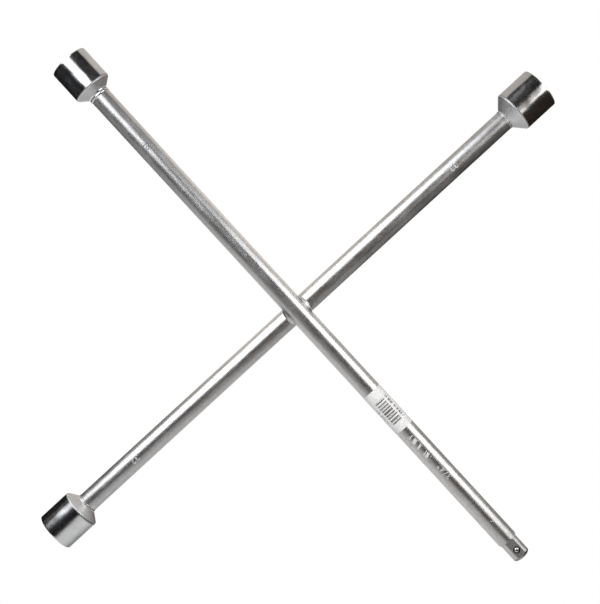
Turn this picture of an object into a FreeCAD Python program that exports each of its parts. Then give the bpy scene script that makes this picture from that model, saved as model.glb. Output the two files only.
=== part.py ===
import FreeCAD, Part
import math
import os
import Sketcher

# Four-way wheel-nut wrench for trucks, in millimetres.
#
# Two round steel bars cross at right angles and are resistance-welded where they cross.
# The front bar lies along X, above the rear bar, which lies along Y.  Three bar ends carry
# forged hexagon sockets; the front bar's +X end is milled to a square drive that holds a
# sprung detent ball.  The origin is on the ground under the crossing, +Z points up from the
# rear bar to the front bar, and the wrench lies flat on the sockets of its rear bar.

SIZES = {
    # bars
    "bar_diameter": 22.0,
    "axis_gap": 16.5,               # between the two bars' axes, less than a diameter: pressed together
    "rear_axis_height": 23.2,       # the largest socket's radius
    "reach_30": 351.7,              # crossing to each end face
    "reach_drive": 348.5,
    "reach_32": 346.6,
    "reach_33": 347.5,
    # sockets: width across flats, outside diameter, back face to mouth, straight neck, cone's end
    "flats_30": 30.0,
    "flats_32": 32.0,
    "flats_33": 33.0,
    "socket_diameter_30": 42.4,
    "socket_diameter_32": 44.0,
    "socket_diameter_33": 46.4,
    "socket_length_30": 45.9,
    "socket_length_32": 45.6,
    "socket_length_33": 50.3,
    "neck_length_30": 0.5,
    "neck_length_32": 0.8,
    "neck_length_33": 0.7,
    "cone_end_30": 8.3,
    "cone_end_32": 8.1,
    "cone_end_33": 11.6,
    "foot_rise_30": 0.0,            # how far the cone's foot stands out from the bar
    "foot_rise_32": 0.3,
    "foot_rise_33": 0.3,
    "hex_depth": 28.0,
    "hex_clearance": 0.4,           # the broached flats are this much wider than the nut
    "mouth_fillet": 1.4,
    "shoulder_fillet": 2.4,
    # square drive
    "drive_square": 19.05,
    "drive_corner_diameter": 21.5,
    "drive_length": 22.7,
    "drive_runout": 1.8,
    "drive_tip_chamfer": 3.7,
    # detent in the drive's upper flat
    "ball_diameter": 6.35,
    "ball_from_tip": 11.0,
    "ball_proud": 1.3,
    "ball_clearance": 0.1,
    "pocket_depth": 12.6,           # below the flat
    "stake_radius": 3.35,
    "stake_wire_radius": 0.28,
    "spring_mean_radius": 2.4,
    "spring_wire_radius": 0.35,
    "spring_turns": 5.0,
    # welds
    "flash_radius": 15.2,
    "flash_half_height": 8.6,
    "upset_ring_radius": 9.55,
    "upset_lip_radius": 2.2,
    "upset_lip_spacing": 3.2,
    "upset_shift": 0.4,             # the lips' middle is this far from the joint toward the crossing
    "seam_ring_radius": 10.65,
    "seam_lip_radius": 0.8,
    # paper price label round the front bar
    "label_start": 114.0,
    "label_length": 51.0,
    "label_thickness": 0.15,
    "label_wrap_angle": 330.0,
    # size marks stamped in the bars' tops
    "mark_height": 5.6,
    "mark_stroke": 0.8,
    "mark_depth": 0.6,
    "mark_drive_at": 226.0,
    "mark_30_at": -229.0,
    "mark_33_at": 222.5,
    "mark_32_at": -230.5,
}

UP = FreeCAD.Vector(0, 0, 1)
MARGIN = 1.0                        # how far a cutting profile runs past the face it cuts

doc = FreeCAD.newDocument("lug_wrench")
sheet = doc.addObject("Spreadsheet::Sheet", "Sizes")
for row, (alias, number) in enumerate(SIZES.items(), start=1):
    sheet.set("A%d" % row, alias)
    sheet.set("B%d" % row, str(number))
    sheet.setAlias("B%d" % row, alias)
doc.recompute()


class Size:
    """A length and the expression that ties it to the sheet."""

    def __init__(self, number, formula):
        self.number = number
        self.formula = formula

    def joined(self, sign, other, number):
        return Size(number, "(%s %s %s)" % (self.formula, sign, other.formula))

    def __add__(self, other):
        other = as_size(other)
        return self.joined("+", other, self.number + other.number)

    def __sub__(self, other):
        other = as_size(other)
        return self.joined("-", other, self.number - other.number)

    def __mul__(self, other):
        other = as_size(other)
        return self.joined("*", other, self.number * other.number)

    def __truediv__(self, other):
        other = as_size(other)
        return self.joined("/", other, self.number / other.number)

    def __neg__(self):
        return as_size(0) - self


def as_size(thing):
    return thing if isinstance(thing, Size) else Size(float(thing), "%.9f" % thing)


def size(alias):
    return Size(SIZES[alias], "Sizes." + alias)


BAR_RADIUS = size("bar_diameter") / 2
REAR_HEIGHT = size("rear_axis_height")
FRONT_HEIGHT = REAR_HEIGHT + size("axis_gap")


def bind(thing, **properties):
    """Ties each named property to its size."""
    for name, length in properties.items():
        thing.setExpression(name, as_size(length).formula)


def facing(direction):
    """The rotation that turns local Z to the direction and local X up."""
    return FreeCAD.Rotation(UP, direction.cross(UP), direction, "ZXY")


def place(thing, position, rotation=FreeCAD.Rotation()):
    """Puts the object at a position given by three sizes."""
    corner = [as_size(length) for length in position]
    base = FreeCAD.Vector(*[length.number for length in corner])
    thing.Placement = FreeCAD.Placement(base, rotation)
    for axis, length in zip("xyz", corner):
        thing.setExpression("Placement.Base." + axis, length.formula)
    return thing


# ---------------------------------------------------------------- sketches and solids

def origin_feature(body, role):
    return [feature for feature in body.Origin.OriginFeatures if feature.Role == role][0]


def new_sketch(body, name, plane_role, shift=None):
    """A sketch on one of the body's origin planes, moved by (x, y, z) sizes in its own axes."""
    sketch = body.newObject("Sketcher::SketchObject", name)
    sketch.AttachmentSupport = (origin_feature(body, plane_role), [""])
    sketch.MapMode = "FlatFace"
    for axis, length in zip("xyz", shift or ()):
        sketch.setExpression("AttachmentOffset.Base." + axis, as_size(length).formula)
    return sketch


def fix_point(sketch, edge, end, across, up):
    """Dimensions one end of an edge from the sketch's origin."""
    for kind, length in (("DistanceX", across), ("DistanceY", up)):
        length = as_size(length)
        index = sketch.addConstraint(Sketcher.Constraint(kind, -1, 1, edge, end, length.number))
        sketch.setExpression("Constraints[%d]" % index, length.formula)


def polygon(sketch, corners):
    """A closed outline through (across, up) sizes, each corner dimensioned from the origin."""
    points = [FreeCAD.Vector(as_size(x).number, as_size(y).number, 0) for x, y in corners]
    edges = []
    for start, end in zip(points, points[1:] + points[:1]):
        edges.append(sketch.addGeometry(Part.LineSegment(start, end), False))
    for edge, following in zip(edges, edges[1:] + edges[:1]):
        sketch.addConstraint(Sketcher.Constraint("Coincident", edge, 2, following, 1))
    for edge, (across, up) in zip(edges, corners):
        fix_point(sketch, edge, 1, across, up)


def sketched_feature(body, kind, name, sketch, **properties):
    feature = body.newObject("PartDesign::" + kind, name)
    feature.Profile = sketch
    for key, setting in properties.items():
        setattr(feature, key, setting)
    return feature


def turned(body, kind, name, sketch, axis):
    """A Revolution or a Groove: the sketch turned once round one of its own axes."""
    return sketched_feature(body, kind, name, sketch, ReferenceAxis=(sketch, [axis]), Angle=360.0)


def circle_edges(shape, radius, height):
    """The names of the full circles of that radius at that height on the body's own Z axis."""
    names = []
    for index, edge in enumerate(shape.Edges, start=1):
        curve = edge.Curve
        if isinstance(curve, Part.Circle) and abs(curve.Radius - radius) < 1e-4:
            if abs(curve.Center.z - height) < 1e-4:
                names.append("Edge%d" % index)
    return names


def solid(kind, name, **properties):
    """A Part primitive with its sizes bound to the sheet."""
    thing = doc.addObject("Part::" + kind, name)
    bind(thing, **properties)
    return thing


def rod(name, radius, start, end, height, direction):
    """A round solid between two distances along a level axis at the given height."""
    cylinder = solid("Cylinder", name, Radius=radius, Height=end - start)
    position = [start * component for component in (direction.x, direction.y)]
    return place(cylinder, position + [height], facing(direction))


def ring(name, centre_radius, lip_radius, position, direction):
    torus = solid("Torus", name, Radius1=centre_radius, Radius2=lip_radius)
    return place(torus, position, facing(direction))


def fused(name, shapes):
    fusion = doc.addObject("Part::MultiFuse", name)
    fusion.Shapes = shapes
    return fusion


def cut(label, base, tool):
    result = doc.addObject("Part::Cut", label)
    result.Base = base
    result.Tool = tool
    result.Label = label
    return result


# ---------------------------------------------------------------- stamped size marks

MARK_WIDTH = 0.55                   # a numeral's width and its pitch, in mark heights
MARK_PITCH = 0.88


def line(*points):
    return Part.makePolygon([FreeCAD.Vector(x, y, 0) for x, y in points])


def arc(centre, radius, first, last, tail=()):
    """A round stroke between two angles in degrees, anticlockwise, with a straight tail."""
    circle = Part.Circle(FreeCAD.Vector(centre[0], centre[1], 0), UP, radius)
    edges = [Part.Arc(circle, math.radians(first), math.radians(last)).toShape()]
    start = edges[0].valueAt(edges[0].FirstParameter)
    for x, y in tail:
        end = FreeCAD.Vector(x, y, 0)
        edges.append(Part.LineSegment(start, end).toShape())
        start = end
    return Part.Wire(Part.__sortEdges__(edges))


def numeral_strokes(character):
    """The strokes of one numeral, one unit high, its lower left corner at the origin."""
    middle = MARK_WIDTH / 2
    if character == "0":
        return [arc((middle, 1 - middle), middle, 0, 180, [(MARK_WIDTH, middle)]),
                arc((middle, middle), middle, 180, 360, [(0, 1 - middle)])]
    if character == "2":
        return [arc((middle, 0.72), 0.28, -30, 165, [(0.02, 0), (MARK_WIDTH, 0)])]
    if character == "3":
        return [arc((middle, 0.755), 0.245, -90, 155), arc((middle, 0.265), 0.265, -155, 90)]
    if character == "4":
        return [line((0.40, 0), (0.40, 1)), line((0.40, 1), (0, 0.3), (MARK_WIDTH, 0.3))]
    if character == "/":
        return [line((0.08, -0.06), (0.50, 1.06))]
    return [line((0.18, 0.72), (0.18, 1)), line((0.40, 0.72), (0.40, 1))]


def straight_stroke(start, end, half_width):
    """A flat strip between two points with round ends."""
    along = (end - start).normalize() * half_width
    across = along.cross(UP)
    sides = [Part.LineSegment(start + across, end + across), Part.LineSegment(end - across, start - across)]
    ends = [Part.Arc(end + across, end + along, end - across),
            Part.Arc(start - across, start - along, start + across)]
    edges = [curve.toShape() for curve in (sides[0], ends[0], sides[1], ends[1])]
    return Part.Face(Part.Wire(edges))


def stroke_face(wire, half_width):
    """The area that a round-nosed tool covers along the wire."""
    if len(wire.Vertexes) == 2 and isinstance(wire.Edges[0].Curve, Part.Line):
        return straight_stroke(wire.Vertexes[0].Point, wire.Vertexes[1].Point, half_width)
    return wire.makeOffset2D(half_width, 0, True, False)


def stamp(name, characters, turn, at):
    """Blunt strokes that cut a bar's crown, their middle at that point of it.

    The mark reads along X, turned anticlockwise by an angle in degrees as seen from above.
    """
    height = SIZES["mark_height"]
    depth = SIZES["mark_depth"]
    strokes = []
    for place_number, character in enumerate(characters):
        for wire in numeral_strokes(character):
            wire = wire.copy()
            wire.translate(FreeCAD.Vector(place_number * MARK_PITCH, 0, 0))
            wire.scale(height)
            face = stroke_face(wire, SIZES["mark_stroke"] / 2)
            strokes.append(face.extrude(UP * (depth + MARGIN)))
    length = height * ((len(characters) - 1) * MARK_PITCH + MARK_WIDTH)
    to_middle = FreeCAD.Placement(FreeCAD.Vector(-length / 2, -height / 2, -depth), FreeCAD.Rotation())
    mark = doc.addObject("Part::Feature", name)
    mark.Shape = strokes[0].multiFuse(strokes[1:])
    mark.Placement = FreeCAD.Placement(at, FreeCAD.Rotation(UP, turn)).multiply(to_middle)
    return mark


# ---------------------------------------------------------------- the bars

ALONG_X = FreeCAD.Vector(1, 0, 0)
ALONG_Y = FreeCAD.Vector(0, 1, 0)


def front_bar_blank():
    """The front bar, turned along its own X axis and milled square at +X."""
    body = doc.addObject("PartDesign::Body", "front_bar_blank")
    tip = size("reach_drive")
    drive_start = tip - size("drive_length")
    corner = size("drive_corner_diameter") / 2
    flat = size("drive_square") / 2
    joint = size("socket_length_30") - size("reach_30")
    chamfer = size("drive_tip_chamfer")

    outline = new_sketch(body, "front_bar_profile", "XZ_Plane")
    polygon(outline, [(joint, 0), (joint, BAR_RADIUS), (drive_start, BAR_RADIUS),
                      (drive_start, corner), (tip - chamfer, corner),
                      (tip - chamfer * 0.25, corner - chamfer * 0.55),
                      (tip, corner - chamfer), (tip, 0)])
    turned(body, "Revolution", "front_bar_turned", outline, "H_Axis")

    flat_side = new_sketch(body, "drive_flat_profile", "XZ_Plane")
    runout_start = drive_start - size("drive_runout")
    polygon(flat_side, [(runout_start, BAR_RADIUS), (drive_start, flat), (tip + MARGIN, flat),
                        (tip + MARGIN, BAR_RADIUS + MARGIN), (runout_start, BAR_RADIUS + MARGIN)])
    flat_cut = sketched_feature(body, "Pocket", "drive_flat", flat_side,
                                Type="ThroughAll", Midplane=True)
    four_flats = body.newObject("PartDesign::PolarPattern", "drive_flats")
    four_flats.Originals = [flat_cut]
    four_flats.Axis = (origin_feature(body, "X_Axis"), [""])
    four_flats.Angle = 360.0
    four_flats.Occurrences = 4
    body.Tip = four_flats
    return place(body, (0, 0, FRONT_HEIGHT))


def detent_height():
    """The ball's centre above the front bar's axis, at rest against the staked lip."""
    return size("drive_square") / 2 + size("ball_proud") - size("ball_diameter") / 2


def ball_pocket():
    """A drilled hole whose mouth is closed in by the staked lip round the ball."""
    at = size("reach_drive") - size("ball_from_tip")
    radius = size("ball_diameter") / 2 + size("ball_clearance")
    flat = size("drive_square") / 2
    floor = flat - size("pocket_depth")
    hole = solid("Cylinder", "ball_hole", Radius=radius, Height=detent_height() - floor)
    place(hole, (at, 0, FRONT_HEIGHT + floor))
    dome = place(solid("Sphere", "ball_lip", Radius=radius), (at, 0, FRONT_HEIGHT + detent_height()))
    stake = solid("Torus", "stake_groove", Radius1=size("stake_radius"),
                  Radius2=size("stake_wire_radius"))
    place(stake, (at, 0, FRONT_HEIGHT + flat))
    return [hole, dome, stake]


def make_front_bar():
    crown = (FRONT_HEIGHT + BAR_RADIUS).number
    marks = [stamp("mark_" + place_name, characters, 180.0,
                   FreeCAD.Vector(SIZES["mark_%s_at" % place_name], 0, crown))
             for place_name, characters in (("drive", '3/4"'), ("30", "30"))]
    return cut("front_bar", front_bar_blank(), fused("front_bar_cuts", ball_pocket() + marks))


def make_rear_bar():
    """The rear bar, notched where the front bar is pressed and welded into it."""
    start = size("socket_length_32") - size("reach_32")
    end = size("reach_33") - size("socket_length_33")
    blank = rod("rear_bar_blank", BAR_RADIUS, start, end, REAR_HEIGHT, ALONG_Y)
    saddle = rod("rear_bar_saddle", BAR_RADIUS, -BAR_RADIUS * 2, BAR_RADIUS * 2, FRONT_HEIGHT, ALONG_X)
    crown = (REAR_HEIGHT + BAR_RADIUS).number
    marks = [stamp("mark_" + number, number, -90.0,
                   FreeCAD.Vector(0, SIZES["mark_%s_at" % number], crown))
             for number in ("32", "33")]
    return cut("rear_bar", blank, fused("rear_bar_cuts", [saddle] + marks))


# ---------------------------------------------------------------- the sockets

def make_socket(number, height, direction):
    """A forged socket: neck, cone and round body, with a broached hexagon open at the mouth.

    Its own Z axis runs from the face that is welded to the bar to the mouth.
    """
    body = doc.addObject("PartDesign::Body", "socket_" + number)
    body.Label = "socket_" + number
    length = size("socket_length_" + number)
    radius = size("socket_diameter_" + number) / 2
    foot = BAR_RADIUS + size("foot_rise_" + number)
    cone_end = size("cone_end_" + number)
    flats = size("flats_" + number) + size("hex_clearance")

    outline = new_sketch(body, "outline_" + number, "XZ_Plane")
    polygon(outline, [(0, 0), (foot, 0), (foot, size("neck_length_" + number)),
                      (radius, cone_end), (radius, length), (0, length)])
    turned(body, "Revolution", "forging_" + number, outline, "V_Axis")
    doc.recompute()

    for name, edge_height, fillet in (("mouth_edge_", length, "mouth_fillet"),
                                      ("shoulder_edge_", cone_end, "shoulder_fillet")):
        rounding = body.newObject("PartDesign::Fillet", name + number)
        edges = circle_edges(body.Tip.BaseFeature.Shape, radius.number, edge_height.number)
        rounding.Base = (body.Tip.BaseFeature, edges)
        bind(rounding, Radius=size(fillet))
        doc.recompute()

    hexagon = new_sketch(body, "hexagon_" + number, "XY_Plane", (0, 0, length))
    corner = flats / math.sqrt(3)
    polygon(hexagon, [(flats / 2, -corner / 2), (flats / 2, corner / 2), (0, corner),
                      (-flats / 2, corner / 2), (-flats / 2, -corner / 2), (0, -corner)])
    broach = sketched_feature(body, "Pocket", "broach_" + number, hexagon)
    bind(broach, Length=size("hex_depth"))

    floor = length - size("hex_depth")
    drill = flats / 2 - 1
    drill_point = drill * math.tan(math.radians(30))
    cone = new_sketch(body, "drill_point_" + number, "XZ_Plane")
    polygon(cone, [(0, floor - drill_point), (drill, floor), (drill, floor + MARGIN),
                   (0, floor + MARGIN)])
    turned(body, "Groove", "drilled_" + number, cone, "V_Axis")

    lead_in = new_sketch(body, "lead_in_" + number, "XZ_Plane")
    mouth = corner + 0.4
    lead_floor = length - (mouth - flats / 2) * 0.7
    polygon(lead_in, [(0, lead_floor), (flats / 2, lead_floor), (mouth, length),
                      (0, length)])
    turned(body, "Groove", "countersunk_" + number, lead_in, "V_Axis")
    base = size("reach_" + number) - length
    return place(body, (base * direction.x, base * direction.y, height), facing(direction))


# ---------------------------------------------------------------- welds, detent and label

def make_neck_weld(number, height, direction):
    """The metal squeezed out where a socket is butt-welded to its bar.

    The 30 mm socket keeps both rolled lips of its upset; the others were trimmed to a fine seam.
    """
    joint = size("reach_" + number) - size("socket_length_" + number)
    if number == "30":
        half = size("upset_lip_spacing") / 2
        centre = joint - size("upset_shift")
        rings = [(side, size("upset_ring_radius"), size("upset_lip_radius"), centre + offset)
                 for side, offset in (("inner", -half), ("outer", half))]
    else:
        lip = size("seam_lip_radius")
        rings = [("seam", size("seam_ring_radius"), lip, joint - lip)]
    lips = []
    for side, centre_radius, lip_radius, at in rings:
        position = (at * direction.x, at * direction.y, height)
        lips.append(ring("%s_lip_%s" % (side, number), centre_radius, lip_radius, position, direction))
    reach = size("upset_lip_radius") * 4
    core = rod("bar_in_weld_" + number, BAR_RADIUS, joint - reach, joint + reach, height, direction)
    if len(lips) == 1:
        return cut("neck_weld_" + number, lips[0], core)
    neck = size("neck_length_" + number)
    cone = solid("Cone", "cone_in_weld_" + number, Radius1=BAR_RADIUS,
                 Radius2=size("socket_diameter_" + number) / 2,
                 Height=size("cone_end_" + number) - neck)
    at = joint + neck
    place(cone, (at * direction.x, at * direction.y, height), facing(direction))
    return cut("neck_weld_" + number, fused("lips_" + number, lips), fused("parts_in_weld", [core, cone]))


def make_cross_weld():
    """The flash squeezed out all round the saddle where the two bars are welded."""
    middle = REAR_HEIGHT + size("axis_gap") / 2
    flash = solid("Ellipsoid", "flash", Radius1=size("flash_half_height"),
                  Radius2=size("flash_radius"), Radius3=size("flash_radius"))
    place(flash, (0, 0, middle))
    length = BAR_RADIUS * 2
    bars = [rod("front_bar_in_flash", BAR_RADIUS, -length, length, FRONT_HEIGHT, ALONG_X),
            rod("rear_bar_in_flash", BAR_RADIUS, -length, length, REAR_HEIGHT, ALONG_Y)]
    return cut("cross_weld", flash, fused("bars_in_flash", bars))


def make_detent_ball():
    ball = solid("Sphere", "detent_ball", Radius=size("ball_diameter") / 2)
    at = size("reach_drive") - size("ball_from_tip")
    return place(ball, (at, 0, FRONT_HEIGHT + detent_height()))


def make_detent_spring():
    """A compression spring from the pocket's floor to the underside of the ball."""
    body = doc.addObject("PartDesign::Body", "detent_spring")
    wire = size("spring_wire_radius")
    mean = size("spring_mean_radius")
    gap = 0.05
    floor = size("drive_square") / 2 - size("pocket_depth")
    reach = SIZES["ball_diameter"] / 2 + SIZES["spring_wire_radius"] + gap
    seat = math.sqrt(reach ** 2 - SIZES["spring_mean_radius"] ** 2)

    section = new_sketch(body, "spring_wire", "XZ_Plane")
    circle = Part.Circle(FreeCAD.Vector(mean.number, 0, 0), UP, wire.number)
    edge = section.addGeometry(circle, False)
    fix_point(section, edge, 3, mean, 0)
    index = section.addConstraint(Sketcher.Constraint("Radius", edge, wire.number))
    section.setExpression("Constraints[%d]" % index, wire.formula)

    coil = sketched_feature(body, "AdditiveHelix", "spring_coil", section,
                            ReferenceAxis=(section, ["V_Axis"]), Mode="height-turns-angle")
    bind(coil, Height=detent_height() - seat - floor - wire - gap, Turns=size("spring_turns"))
    at = size("reach_drive") - size("ball_from_tip")
    return place(body, (at, 0, FRONT_HEIGHT + floor + wire + gap))


def make_label():
    """A strip of paper wrapped round the front bar, its two edges apart underneath."""
    start = size("label_start")
    end = start + size("label_length")
    paper = rod("label_outside", BAR_RADIUS + size("label_thickness"), start, end, FRONT_HEIGHT, ALONG_X)
    bind(paper, Angle=size("label_wrap_angle"))
    core = rod("label_inside", BAR_RADIUS, start - MARGIN, end + MARGIN, FRONT_HEIGHT, ALONG_X)
    gap = 360.0 - SIZES["label_wrap_angle"]
    turn = FreeCAD.Rotation(ALONG_X, 180.0 + gap / 2)
    paper.Placement = FreeCAD.Placement(paper.Placement.Base, turn.multiply(paper.Placement.Rotation))
    return cut("price_label", paper, core)


# ---------------------------------------------------------------- the whole wrench

SOCKETS = [
    ("30", FRONT_HEIGHT, -ALONG_X),
    ("32", REAR_HEIGHT, -ALONG_Y),
    ("33", REAR_HEIGHT, ALONG_Y),
]

subparts = [make_front_bar(), make_rear_bar(), make_cross_weld()]
for number, height, direction in SOCKETS:
    subparts.append(make_socket(number, height, direction))
    subparts.append(make_neck_weld(number, height, direction))
subparts += [make_detent_ball(), make_detent_spring(), make_label()]
doc.recompute()

broken = [thing.Name for thing in doc.Objects if {"Invalid", "Error"} & set(thing.State)]
if broken:
    raise RuntimeError("features that failed: " + ", ".join(broken))
for subpart in subparts:
    if subpart.Shape.isNull() or not subpart.Shape.isValid():
        raise RuntimeError(subpart.Label + " has no valid shape")

os.makedirs("parts", exist_ok=True)
for subpart in subparts:
    subpart.Shape.exportStep("parts/%s.step" % subpart.Label)
    box = subpart.Shape.BoundBox
    print("%-16s %10.1f mm3  %d solid  x %.2f..%.2f  y %.2f..%.2f  z %.2f..%.2f" % (
        subpart.Label, subpart.Shape.Volume, len(subpart.Shape.Solids),
        box.XMin, box.XMax, box.YMin, box.YMax, box.ZMin, box.ZMax))
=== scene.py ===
import math

import bpy
from mathutils import Euler, Matrix, Vector


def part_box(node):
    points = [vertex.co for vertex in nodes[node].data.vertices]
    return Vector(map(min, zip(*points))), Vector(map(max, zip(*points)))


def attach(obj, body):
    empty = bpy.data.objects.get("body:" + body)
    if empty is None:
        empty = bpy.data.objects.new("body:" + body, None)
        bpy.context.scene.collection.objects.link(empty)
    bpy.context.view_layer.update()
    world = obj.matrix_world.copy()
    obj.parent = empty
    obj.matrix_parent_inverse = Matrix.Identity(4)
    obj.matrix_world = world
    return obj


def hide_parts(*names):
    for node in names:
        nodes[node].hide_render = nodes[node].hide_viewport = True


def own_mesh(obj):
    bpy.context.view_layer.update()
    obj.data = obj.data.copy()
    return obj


# A four-way chromed lug wrench lying flat.  All lengths are in metres, in the frame of the
# CAD model: the front bar lies along X, the rear bar along Y below it, and +Z is up.

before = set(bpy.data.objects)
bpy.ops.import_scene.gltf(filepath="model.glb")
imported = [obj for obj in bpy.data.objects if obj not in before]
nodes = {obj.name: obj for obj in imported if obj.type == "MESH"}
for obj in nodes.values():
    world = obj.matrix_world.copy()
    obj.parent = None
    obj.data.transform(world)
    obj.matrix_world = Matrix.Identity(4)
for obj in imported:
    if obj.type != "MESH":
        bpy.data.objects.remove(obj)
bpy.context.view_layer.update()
scene = bpy.context.scene

X_AXIS, Y_AXIS, Z_AXIS = Vector((1, 0, 0)), Vector((0, 1, 0)), Vector((0, 0, 1))


def middle(node):
    low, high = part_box(node)
    return (low + high) / 2


def half_width(node):
    low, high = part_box(node)
    return (high.z - low.z) / 2


FRONT_AXIS = middle("front_bar")        # a point on each bar's own axis
REAR_AXIS = middle("rear_bar")
BAR_RADIUS = half_width("front_bar")


# ---------------------------------------------------------------- node helpers

class Graph:
    """A node tree under construction."""

    def __init__(self, tree):
        self.tree = tree
        tree.nodes.clear()

    def add(self, kind, **settings):
        node = self.tree.nodes.new("ShaderNode" + kind)
        for name, setting in settings.items():
            setattr(node, name, setting)
        return node

    def link(self, source, output, target, entry):
        self.tree.links.new(source.outputs[output], target.inputs[entry])

    def feed(self, value, target, entry):
        """Gives a socket either a number or another node's result."""
        if isinstance(value, bpy.types.NodeSocket):
            self.tree.links.new(value, target.inputs[entry])
        else:
            target.inputs[entry].default_value = value

    def position(self, output="Object"):
        return self.add("TexCoord").outputs[output]

    def vector(self, operation, first, second, output="Vector"):
        node = self.add("VectorMath", operation=operation)
        self.feed(first, node, 0)
        self.feed(second, node, 1)
        return node.outputs[output]

    def distance(self, first, second):
        return self.vector("DISTANCE", first, second, "Value")

    def drawn_out(self, point, axis, stretch):
        """The point scaled so that a texture on it is drawn out along one axis."""
        scale = [1.0 / stretch if component else 1.0 for component in axis]
        return self.vector("MULTIPLY", point, scale)

    def parts(self, vector):
        node = self.add("SeparateXYZ")
        self.feed(vector, node, 0)
        return [node.outputs[axis] for axis in "XYZ"]

    def joined(self, x, y, z):
        node = self.add("CombineXYZ")
        for entry, value in enumerate((x, y, z)):
            self.feed(value, node, entry)
        return node.outputs[0]

    def noise(self, point, scale, detail=2.0, roughness=0.5):
        node = self.add("TexNoise")
        self.feed(point, node, "Vector")
        node.inputs["Scale"].default_value = scale
        node.inputs["Detail"].default_value = detail
        node.inputs["Roughness"].default_value = roughness
        return node.outputs["Fac"]

    def random_steps(self, value, step, seed=0.0):
        """A random number that changes once in every step."""
        cell = self.math("FLOOR", self.math("DIVIDE", value, step))
        node = self.add("TexWhiteNoise", noise_dimensions="1D")
        self.feed(self.math("ADD", cell, seed), node, "W")
        return node.outputs["Value"]

    def math(self, operation, *values, clamp=False):
        node = self.add("Math", operation=operation, use_clamp=clamp)
        for index, value in enumerate(values):
            self.feed(value, node, index)
        return node.outputs[0]

    def product(self, first, *others):
        for other in others:
            first = self.math("MULTIPLY", first, other)
        return first

    def between(self, value, start, end, low=0.0, high=1.0, smooth=False):
        """Maps start..end to low..high, and holds the ends."""
        kind = "SMOOTHSTEP" if smooth else "LINEAR"
        node = self.add("MapRange", interpolation_type=kind)
        for entry, number in zip(("Value", "From Min", "From Max", "To Min", "To Max"),
                                 (value, start, end, low, high)):
            self.feed(number, node, entry)
        return node.outputs["Result"]

    def slope(self, value, origin, offsets):
        """0 up to the first offset from an origin, and 1 from the second; either may be the larger."""
        start, end = offsets
        return self.between(value, origin + start, origin + end)

    def varied(self, noise, low, high):
        """A number that goes from low to high with a noise, over the range where most of its values lie."""
        return self.between(noise, 0.3, 0.7, low, high)

    def window(self, value, span, edge):
        """1 inside a span, with soft edges of the given width."""
        low, high = span
        return self.product(self.between(value, low, low + edge), self.between(value, high, high - edge))

    def blend(self, factor, first, second):
        """A blend of two numbers."""
        node = self.add("Mix", data_type="FLOAT")
        self.feed(factor, node, 0)
        self.feed(first, node, 2)
        self.feed(second, node, 3)
        return node.outputs[0]

    def mixed(self, factor, first, second):
        """A blend of two colours."""
        node = self.add("Mix", data_type="RGBA")
        self.feed(factor, node, 0)
        self.feed(first, node, 6)
        self.feed(second, node, 7)
        return node.outputs[2]

    def bump(self, height, distance, normal=None, strength=1.0):
        node = self.add("Bump")
        self.feed(height, node, "Height")
        self.feed(strength, node, "Strength")
        node.inputs["Distance"].default_value = distance
        if normal is not None:
            self.feed(normal, node, "Normal")
        return node.outputs["Normal"]


class Material(Graph):
    """A Principled material whose settings are fed by name."""

    def __init__(self, name):
        self.material = bpy.data.materials.new(name)
        self.material.use_nodes = True
        super().__init__(self.material.node_tree)
        self.shader = self.add("BsdfPrincipled")
        self.link(self.shader, "BSDF", self.add("OutputMaterial"), "Surface")

    def set(self, entry, value):
        self.feed(value, self.shader, entry)

    def around(self, axis, centre):
        """The distance along a level bar, out from its axis, and the angle from its crown."""
        x, y, z = self.parts(self.position())
        along, across = (x, y) if axis == X_AXIS else (y, x)
        up = self.math("SUBTRACT", z, centre.z)
        squares = self.math("ADD", self.product(across, across), self.product(up, up))
        out = self.math("SQRT", squares)
        return along, out, self.math("ARCTAN2", across, up)


def grey(value, warmth=0.0):
    return (value * (1 + warmth), value, value * (1 - warmth), 1.0)


# ---------------------------------------------------------------- metal

DRIVE_START = 0.3242                    # along the front bar, where the square's flats are milled
DRIVE_CORNER = 0.01075                  # from the front bar's axis to the square's rounded corners
DRIVE_FLAT = 0.009525                   # from the front bar's axis to each of the square's flats
BALL_SHADE_RING = (0.0024, 0.0037)           # radii of a dark ring of painted shade round the detent ball, over its staked groove
BALL_DARK_REFLECTION = 0.0011                      # radius of a dark reflection painted on the ball's top
STAMPS_END = 0.28                       # all stamped marks lie nearer to the crossing than this

# Pairs of offsets for Graph.slope: where a mask is still 0, and where it reaches 1.
STAMP_DEPTH = (-0.00004, -0.00012)      # below the bar's surface
MILLED_DEPTH = (-0.00002, -0.0001)      # below the square's rounded corners
BALL_SHADE_INSIDE = (-0.0001, 0.0001)        # from the dark ring's inner radius
BALL_SHADE_OUTSIDE = (0.0003, -0.0001)       # from the dark ring's outer radius
DARK_REFLECTION_EDGE = (0.0002, -0.0002)           # from the painted dark reflection's radius
SATIN_EDGE = (0.0019, 0.0012)           # from a socket's shoulder, as are the next two
GROOVES_EDGE = (0.0002, -0.0008)
HEXAGON_START = (0.0, 0.003)
HEXAGON_DEPTH = (-0.0032, -0.0040)      # below a socket's round surface
MOUTH_EDGE = (-0.0006, -0.0002)         # from a socket's open end

RIM = (0.0003, 0.0019)                  # a dark ring round a socket, from its shoulder
RIM_EDGE = 0.0005

CLEAN_CHROME = grey(0.78)
DULL_CHROME = grey(0.66, 0.006)
MOTTLED_CHROME = grey(0.42, 0.01)
PITTED_CHROME = grey(0.3, 0.02)
MILLED_CHROME = grey(0.54, 0.01)
# painted shade for the ring round the detent ball
PAINTED_BALL_SHADE = grey(0.07, 0.05)
# painted highlight: stamps painted pale to stand for the glints off their walls
PAINTED_STAMP_GLINT = grey(0.90)
PAINTED_STAMP_SHADE = grey(0.22)                 # painted shade: the one stamp on the front bar's -X arm is painted dark
RIM_CHROME = grey(0.36)
HEXAGON_CHROME = grey(0.36, 0.02)

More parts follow.
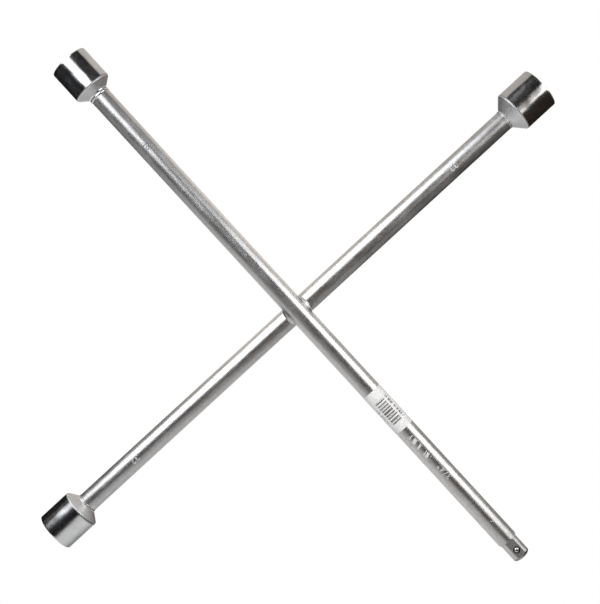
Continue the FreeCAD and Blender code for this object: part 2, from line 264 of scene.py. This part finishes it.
STROKES_ALONG = (0.1745, 0.2055)        # a row of slanted strokes on the front bar, beside the label
STROKES_ROUND = (-0.0052, 0.0010)       # measured round the bar from its crown
STROKE_PITCH = 0.00105                  # along the bar, for one stroke or one gap
STROKE_SLANT = 0.25                     # drift along the bar for each unit round it
STROKE_EDGE = 0.0002                    # width of a stroke's soft ends
SCRATCH_FOOT = 0.2966                   # along the front bar, where the scratch crosses its crown
SCRATCH_ROUND = (-0.0006, 0.0052)       # measured round the bar from its crown
SCRATCH_SLANT = 0.8                     # drift along the bar for each unit round it
SCRATCH_TAPER = 0.0006                  # length of the scratch's faint ends
SCRATCH_EDGE = (0.0005, 0.0002)         # half widths: where it has faded out, and where it is full


def rolled_chrome(name, axis, centre):
    """Chrome over a hot-rolled bar: pitted, with streaks that run along the bar."""
    metal = Material(name)
    point = metal.position()
    along, out, turn = metal.around(axis, centre)
    streaks = metal.noise(metal.drawn_out(point, axis, 14.0), 620.0, detail=3.0, roughness=0.6)
    ripples = metal.noise(metal.drawn_out(point, axis, 4.0), 160.0)
    patches = metal.noise(metal.drawn_out(point, axis, 2.5), 75.0, detail=3.0, roughness=0.6)
    mottle = metal.noise(metal.drawn_out(point, axis, 2.0), 420.0, detail=3.0, roughness=0.6)
    grain = metal.noise(point, 1300.0, roughness=0.6)
    pits = metal.between(metal.noise(point, 800.0, detail=1.0), 0.62, 0.72)
    stamped = metal.product(metal.slope(out, BAR_RADIUS, STAMP_DEPTH),
                            metal.math("LESS_THAN", metal.math("ABSOLUTE", along), STAMPS_END))
    milled = metal.product(metal.slope(out, DRIVE_CORNER, MILLED_DEPTH),
                           metal.math("GREATER_THAN", along, DRIVE_START))

    tone = metal.mixed(metal.between(patches, 0.35, 0.65), DULL_CHROME, CLEAN_CHROME)
    tone = metal.mixed(metal.between(mottle, 0.35, 0.6, 0.35, 0.0), tone, MOTTLED_CHROME)
    tone = metal.mixed(metal.product(pits, 0.5), tone, PITTED_CHROME)
    tone = metal.mixed(milled, tone, MILLED_CHROME)
    # painted highlight: stamped marks are painted pale, standing in for the glints off their walls
    stamp_tone = PAINTED_STAMP_GLINT
    if axis == X_AXIS:                  # only the front bar has these marks
        # painted shade: a dark ring round the detent ball
        tone = metal.mixed(painted_ball_shade(metal, point), tone, PAINTED_BALL_SHADE)
        stamped = metal.math("MAXIMUM", stamped, marks_painted_as_glints(metal, along, turn))
        # painted shade: on the front bar's -X arm the stamp is painted dark instead
        stamp_tone = metal.mixed(metal.math("GREATER_THAN", along, 0.0), PAINTED_STAMP_SHADE, PAINTED_STAMP_GLINT)

    metal.set("Base Color", metal.mixed(stamped, tone, stamp_tone))
    # the stamps are made less metallic, so their painted highlight and painted shade show as flat colour
    metal.set("Metallic", metal.between(stamped, 0.0, 1.0, 1.0, 0.35))
    haze = metal.math("ADD", metal.varied(streaks, 0.31, 0.36), metal.varied(patches, -0.03, 0.04))
    metal.set("Roughness", metal.blend(metal.math("MAXIMUM", stamped, milled), haze, 0.50))
    normal = None
    for height, depth in ((ripples, 0.00012), (streaks, 0.000015), (mottle, 0.00002), (grain, 0.000006)):
        normal = metal.bump(height, depth, normal)
    metal.set("Normal", normal)
    return metal.material


def painted_ball_shade(metal, point):
    """A dark ring of painted shade on the square's upper flat, round the detent ball."""
    centre = middle("detent_ball")
    centre.z = FRONT_AXIS.z + DRIVE_FLAT
    away = metal.distance(point, centre)
    inner, outer = BALL_SHADE_RING
    return metal.product(metal.slope(away, inner, BALL_SHADE_INSIDE), metal.slope(away, outer, BALL_SHADE_OUTSIDE))


def marks_painted_as_glints(metal, along, turn):
    """A row of plain slanted strokes stamped beside the label, and one long scratch; the bar's material
    paints them pale as highlights.
    """
    height = metal.product(turn, BAR_RADIUS)
    slanted = metal.math("ADD", along, metal.product(height, STROKE_SLANT))
    strokes = metal.product(metal.math("GREATER_THAN", metal.random_steps(slanted, STROKE_PITCH), 0.5),
                            metal.window(along, STROKES_ALONG, STROKE_EDGE),
                            metal.window(height, STROKES_ROUND, STROKE_EDGE))
    off_line = metal.math("SUBTRACT", metal.math("SUBTRACT", along, SCRATCH_FOOT),
                          metal.product(height, SCRATCH_SLANT))
    scratch = metal.product(metal.between(metal.math("ABSOLUTE", off_line), *SCRATCH_EDGE),
                            metal.window(height, SCRATCH_ROUND, SCRATCH_TAPER))
    return metal.math("MAXIMUM", strokes, scratch)


def socket_chrome(node, axis, centre, cone_length, cone_tone, shift):
    """Polished chrome on the body, a satin turned cone behind it and a dull broached hexagon."""
    metal = Material(node + "_chrome")
    point = metal.position()
    along, out, turn = metal.around(axis, centre)
    along = metal.math("ABSOLUTE", along)
    back, mouth_end = sorted(abs(corner.dot(axis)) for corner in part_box(node))
    shoulder = back + cone_length

    grain = metal.noise(point, 1500.0, roughness=0.6)
    orange_peel = metal.noise(point, 420.0)
    shifted = metal.vector("ADD", point, shift)
    waves = metal.noise(metal.drawn_out(shifted, axis, 2.0), 85.0, detail=1.0)
    patches = metal.noise(shifted, 120.0, detail=3.0, roughness=0.6)
    grooves = metal.noise(metal.joined(metal.product(along, 4000.0), metal.product(turn, 3.0), 0.0), 1.0)

    satin = metal.slope(along, shoulder, SATIN_EDGE)
    cone = metal.slope(along, shoulder, GROOVES_EDGE)
    rim = metal.window(along, (shoulder + RIM[0], shoulder + RIM[1]), RIM_EDGE)
    hexagon = metal.product(metal.slope(out, half_width(node), HEXAGON_DEPTH),
                            metal.slope(along, shoulder, HEXAGON_START))
    mouth = metal.slope(along, mouth_end, MOUTH_EDGE)

    metal.set("Metallic", 1.0)
    patchy = metal.between(patches, 0.35, 0.65)
    polished = metal.mixed(patchy, grey(0.74), grey(0.82))
    turned = metal.mixed(patchy, grey(cone_tone - 0.06), grey(cone_tone))
    tone = metal.mixed(satin, polished, turned)
    tone = metal.mixed(rim, tone, RIM_CHROME)
    tone = metal.mixed(hexagon, tone, HEXAGON_CHROME)
    metal.set("Base Color", tone)
    rough = metal.blend(satin, metal.varied(patches, 0.14, 0.19), metal.varied(grooves, 0.46, 0.58))
    rough = metal.blend(metal.math("MAXIMUM", hexagon, metal.product(mouth, 0.5)), rough, 0.55)
    metal.set("Roughness", rough)
    normal = None
    for height, depth in ((waves, 0.0004), (orange_peel, 0.000015), (grain, 0.000003)):
        normal = metal.bump(height, depth, normal)
    metal.set("Normal", metal.bump(grooves, 0.00003, normal, strength=metal.math("MAXIMUM", cone, mouth)))
    return metal.material


def weld_chrome(name):
    """Chrome over squeezed-out weld metal: lumpy and dull."""
    metal = Material(name)
    point = metal.position()
    lumps = metal.noise(point, 380.0, detail=3.0, roughness=0.6)
    grain = metal.noise(point, 1600.0)
    metal.set("Metallic", 1.0)
    raised = metal.between(lumps, 0.3, 0.55)
    metal.set("Base Color", metal.mixed(raised, grey(0.70, 0.01), grey(0.92, 0.005)))
    metal.set("Roughness", metal.varied(lumps, 0.55, 0.42))
    metal.set("Normal", metal.bump(grain, 0.00003, metal.bump(lumps, 0.0002)))
    return metal.material


def upset_chrome(name):
    """Bright chrome over the two rolled lips behind the 30 mm socket."""
    metal = Material(name)
    point = metal.position()
    dents = metal.noise(point, 170.0)
    grain = metal.noise(point, 1600.0)
    metal.set("Metallic", 1.0)
    metal.set("Base Color", metal.mixed(metal.between(dents, 0.3, 0.5), grey(0.62, 0.01), grey(0.84)))
    metal.set("Roughness", metal.varied(grain, 0.16, 0.24))
    metal.set("Normal", metal.bump(grain, 0.000006, metal.bump(dents, 0.00008)))
    return metal.material


def bright_steel(name, tone, roughness, dark_reflection_at=None):
    """Scuffed bare steel, with a dark reflection painted round a point where one is given."""
    metal = Material(name)
    point = metal.position()
    scuffs = metal.noise(point, 1200.0, detail=3.0, roughness=0.6)
    metal.set("Metallic", 1.0)
    colour = metal.mixed(scuffs, grey(tone * 0.9), grey(tone))
    if dark_reflection_at:
        # painted reflection: a dark spot on the ball's top
        painted_dark_reflection = metal.slope(metal.distance(point, dark_reflection_at), BALL_DARK_REFLECTION, DARK_REFLECTION_EDGE)
        colour = metal.mixed(painted_dark_reflection, colour, grey(0.12, 0.02))
    metal.set("Base Color", colour)
    metal.set("Roughness", metal.varied(scuffs, roughness, roughness + 0.1))
    metal.set("Normal", metal.bump(scuffs, 0.00001))
    return metal.material


# ---------------------------------------------------------------- the price label

CODE_ALONG = (0.0112, 0.0412)           # the printed bars, from the label's own start
CODE_ROUND = (-0.0069, 0.0051)          # measured round the bar from its crown
CODE_PITCH = 0.0033                     # from one broad printed bar to the next
FINE_PITCH = CODE_PITCH / 9             # of the fine bars among them
DASH_PITCH = 0.0007
DASH_ROWS = [                           # round the bar, along it, and the share of a row left blank
    ((-0.0114, -0.0100), (0.0185, 0.037), 0.5),
    ((0.0073, 0.0102), CODE_ALONG, 0.35),
]
PRINT_EDGE = 0.00008                    # width of the printing's soft edges


def paper(name):
    """White coated paper printed with bars and, on both sides, rows of plain dashes."""
    sheet = Material(name)
    along, _, turn = sheet.around(X_AXIS, FRONT_AXIS)
    length = sheet.math("SUBTRACT", along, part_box("price_label")[0].x)
    height = sheet.product(turn, BAR_RADIUS)

    share = sheet.between(sheet.random_steps(length, CODE_PITCH, seed=17.0), 0.0, 1.0, 0.30, 0.60)
    broad = sheet.math("LESS_THAN", sheet.math("FRACT", sheet.math("DIVIDE", length, CODE_PITCH)), share)
    fine = sheet.math("GREATER_THAN", sheet.random_steps(length, FINE_PITCH, seed=4.0), 0.7)
    ink = sheet.product(sheet.math("MAXIMUM", broad, fine), sheet.window(length, CODE_ALONG, PRINT_EDGE),
                        sheet.window(height, CODE_ROUND, PRINT_EDGE))
    for row_round, row_along, blank in DASH_ROWS:
        dashes = sheet.math("GREATER_THAN", sheet.random_steps(length, DASH_PITCH, seed=5.0), blank)
        row = sheet.product(dashes, sheet.window(height, row_round, PRINT_EDGE),
                            sheet.window(length, row_along, PRINT_EDGE))
        ink = sheet.math("MAXIMUM", ink, row)
    point = sheet.position()
    worn = sheet.noise(point, 1500.0)
    ink = sheet.product(ink, sheet.between(worn, 0.25, 0.6, 0.6, 0.92))
    fibres = sheet.noise(point, 900.0, detail=3.0, roughness=0.6)
    blank_paper = sheet.mixed(fibres, grey(0.91, 0.012), grey(0.95, 0.008))
    sheet.set("Base Color", sheet.mixed(ink, blank_paper, grey(0.02)))
    sheet.set("Roughness", sheet.varied(fibres, 0.32, 0.45))
    sheet.set("Normal", sheet.bump(fibres, 0.00002))
    return sheet.material


# ---------------------------------------------------------------- materials onto the CAD nodes

def dress(node, material):
    mesh = nodes[node].data
    mesh.materials.clear()
    mesh.materials.append(material)


SOCKETS = [                             # node, its bar's direction and centre, its cone's length and tone
    ("socket_30", X_AXIS, FRONT_AXIS, 0.0083, 0.85),
    ("socket_32", Y_AXIS, REAR_AXIS, 0.0081, 0.88),
    ("socket_33", Y_AXIS, REAR_AXIS, 0.0116, 0.85),
]

dress("front_bar", rolled_chrome("front_bar_chrome", X_AXIS, FRONT_AXIS))
rear_chrome = rolled_chrome("rear_bar_chrome", Y_AXIS, REAR_AXIS)
for node in ("rear_bar", "neck_weld_32", "neck_weld_33"):
    dress(node, rear_chrome)
for order, (node, axis, centre, cone_length, cone_tone) in enumerate(SOCKETS):
    dress(node, socket_chrome(node, axis, centre, cone_length, cone_tone, (0.3 * order, 0.1, 0.2)))
dress("cross_weld", weld_chrome("weld_chrome"))
dress("neck_weld_30", upset_chrome("upset_chrome"))
# the ball's top, round which a dark reflection is painted
ball_top = middle("detent_ball")
ball_top.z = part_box("detent_ball")[1].z
dress("detent_ball", bright_steel("ball_steel", 0.85, 0.34, ball_top))
dress("detent_spring", bright_steel("spring_steel", 0.5, 0.3))
dress("price_label", paper("label_paper"))


# ---------------------------------------------------------------- the spring under the ball

def add_working_spring():
    """A copy of the detent spring, with a mesh of its own, under the wrench's body in place of the CAD one.
    """
    spring = bpy.data.objects.new("working_spring", nodes["detent_spring"].data.copy())
    scene.collection.objects.link(spring)
    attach(spring, "wrench")
    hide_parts("detent_spring")
    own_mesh(spring)


add_working_spring()


# ---------------------------------------------------------------- stage and light

FLOOR_SIZE = 12.0
BACKDROP = grey(1.0)                    # the floor and, beyond its edge, what the camera sees
WARM = (1.07, 1.0, 0.93)
COOL = (0.985, 1.0, 1.02)


def add_floor(size):
    bpy.ops.mesh.primitive_plane_add(size=size)
    floor = bpy.context.object
    floor.name = "floor"
    material = bpy.data.materials.new("floor")
    material.use_nodes = True
    surface = Graph(material.node_tree)
    glow = surface.add("Emission")
    surface.feed(BACKDROP, glow, "Color")
    surface.link(glow, "Emission", surface.add("OutputMaterial"), "Surface")
    floor.data.materials.append(material)
    floor.visible_glossy = False
    floor.visible_diffuse = False


def soft_light(name, low, high, width, radiance, shape="RECTANGLE", colour=(1.0, 1.0, 1.0)):
    """A flat light between the middles of its lower and upper edges, facing down to the wrench."""
    low, high = Vector(low), Vector(high)
    rise = (high - low).normalized()
    side = Z_AXIS.cross(rise).normalized()
    facing = side.cross(rise)
    if facing.z < 0:
        side, facing = -side, -facing
    lamp = bpy.data.lights.new(name, "AREA")
    lamp.shape = shape
    lamp.color = colour
    lamp.size = width
    lamp.size_y = (high - low).length
    area = lamp.size * lamp.size_y * (math.pi / 4 if shape == "ELLIPSE" else 1)
    lamp.energy = radiance * math.pi * area
    thing = bpy.data.objects.new(name, lamp)
    scene.collection.objects.link(thing)
    turn = Matrix((side, rise, facing)).transposed().to_4x4()
    thing.matrix_world = Matrix.Translation((low + high) / 2) @ turn
    thing.visible_camera = False
    return thing


soft_light("left_softbox", (-1.62, -0.06, 0.14), (-0.39, -0.06, 1.0),
           width=0.91, radiance=2.5, shape="ELLIPSE", colour=COOL)
soft_light("left_softbox_rim", (-1.71, -0.06, 0.08), (-0.30, -0.06, 1.06),
           width=1.10, radiance=0.65, shape="ELLIPSE", colour=COOL)
soft_light("top_softbox", (0.29, 1.45, 0.23), (0.22, 0.58, 1.0), width=0.69, radiance=2.45)
soft_light("top_softbox_rim", (-0.20, 1.45, 0.13), (-0.20, 0.75, 1.0), width=0.56, radiance=0.34)
paper_fill = soft_light("paper_fill", (0.0, -1.2, 2.3), (0.0, 1.2, 2.4), width=2.4, radiance=1.05)
paper_fill.visible_glossy = False


COOL_SHADE = (0.009, 0.010, 0.013, 1)
NEUTRAL_SHADE = (0.012, 0.0115, 0.011, 1)
WARM_SHADE = (0.020, 0.014, 0.010, 1)
CEILING_GLOW = (0.125, 0.075, 0.045, 1)


def add_world():
    """A dark studio, with low walls on its -X and +Y sides and a pale corner between +X and -Y.

    The numbers that x, y and z are compared with are parts of a direction, each from -1 to 1.
    """
    world = bpy.data.worlds.new("studio")
    world.use_nodes = True
    sky = Graph(world.node_tree)
    x, y, z = sky.parts(sky.position("Generated"))

    def where(*slopes):
        """1 only where all the given (value, from, to) slopes are at their ends."""
        return sky.product(1.0, *[sky.between(*slope, smooth=True) for slope in slopes])

    def wall_light(level):
        return sky.vector("MULTIPLY", sky.joined(level, level, level), WARM)

    colour = sky.mixed(sky.between(y, -0.3, 0.1), COOL_SHADE, NEUTRAL_SHADE)
    colour = sky.mixed(sky.between(x, 0.2, 0.8), colour, WARM_SHADE)
    overhead = where((z, 0.80, 1.0), (x, -0.05, 0.15), (y, -0.17, -0.07))
    colour = sky.mixed(overhead, colour, CEILING_GLOW)

    # the wall on the +Y side: its brightness changes along X
    far_end = sky.between(x, -0.200, -0.175, 0.80, 0.50)
    middle_part = sky.between(x, -0.150, -0.12, 0.0, 0.75)
    near_end = sky.between(x, -0.01, 0.045, 0.0, -0.99)
    level = sky.math("ADD", sky.math("ADD", far_end, middle_part), near_end)
    beside = sky.math("SUBTRACT", y, sky.product(x, 0.6))
    colour = sky.mixed(where((z, 0.07, -0.16), (beside, 0.05, 0.3)), colour, wall_light(level))

    # the wall on the -X side: brightest straight behind the front bar's end
    level = sky.product(sky.between(y, -0.11, -0.08, 0.01, 1.05), sky.between(y, 0.0, 0.04, 1.0, 0.42))
    colour = sky.mixed(where((z, 0.11, -0.12), (x, -0.05, -0.3)), colour, wall_light(level))

    # the pale corner: low down it reaches round both sides, and it is dimmer below the +X side
    diagonal = sky.product(sky.math("ADD", x, 0.03, clamp=True), sky.math("SUBTRACT", 0.02, y, clamp=True))
    corner = sky.math("MAXIMUM", where((diagonal, 0.068, 0.133)), where((z, 0.565, 0.277)))
    corner = sky.product(corner, where((x, -0.11, -0.08), (y, 0.03, -0.03)))
    pale = sky.mixed(where((x, -0.05, 0.0)), grey(0.86, 0.01), grey(0.72, 0.02))
    cool = sky.mixed(where((z, 0.2, -0.8)), grey(0.64, -0.02), grey(0.22, -0.02))
    pale = sky.mixed(where((x, 0.35, 0.55), (y, -0.19, -0.22)), pale, cool)
    colour = sky.mixed(corner, colour, pale)

    # the studio lights the wrench, but beyond the floor's edge the backdrop looks plain and pale
    seen = sky.add("LightPath").outputs["Is Camera Ray"]
    colour = sky.mixed(seen, colour, BACKDROP)
    background = sky.add("Background")
    sky.feed(colour, background, "Color")
    sky.link(background, "Background", sky.add("OutputWorld"), "Surface")
    scene.world = world


add_floor(FLOOR_SIZE)
add_world()
scene.view_settings.view_transform = "Standard"


# ---------------------------------------------------------------- camera

CAMERA_HEIGHT = 1.492                   # above the ground, straight over a point near the crossing
CAMERA_FOOT = (-0.0224, 0.0141)
CAMERA_TURN = math.radians(47.45)       # of the picture's right-hand direction from +X
CAMERA_TILT = (0.0117, 0.0053)          # radians, about the picture's own right and up directions
SENSOR_WIDTH = 36.0                     # millimetres
FOCAL_LENGTH = 83.532                   # millimetres


def add_camera():
    lens = bpy.data.cameras.new("camera")
    lens.sensor_fit = "HORIZONTAL"
    lens.sensor_width = SENSOR_WIDTH
    lens.lens = FOCAL_LENGTH
    lens.clip_end = 50.0
    camera = bpy.data.objects.new("camera", lens)
    scene.collection.objects.link(camera)
    turn = Matrix.Rotation(CAMERA_TURN, 4, "Z")
    tilt = Euler((-CAMERA_TILT[0], -CAMERA_TILT[1], 0)).to_matrix().to_4x4()
    camera.matrix_world = Matrix.Translation((*CAMERA_FOOT, CAMERA_HEIGHT)) @ turn @ tilt
    scene.camera = camera


add_camera()
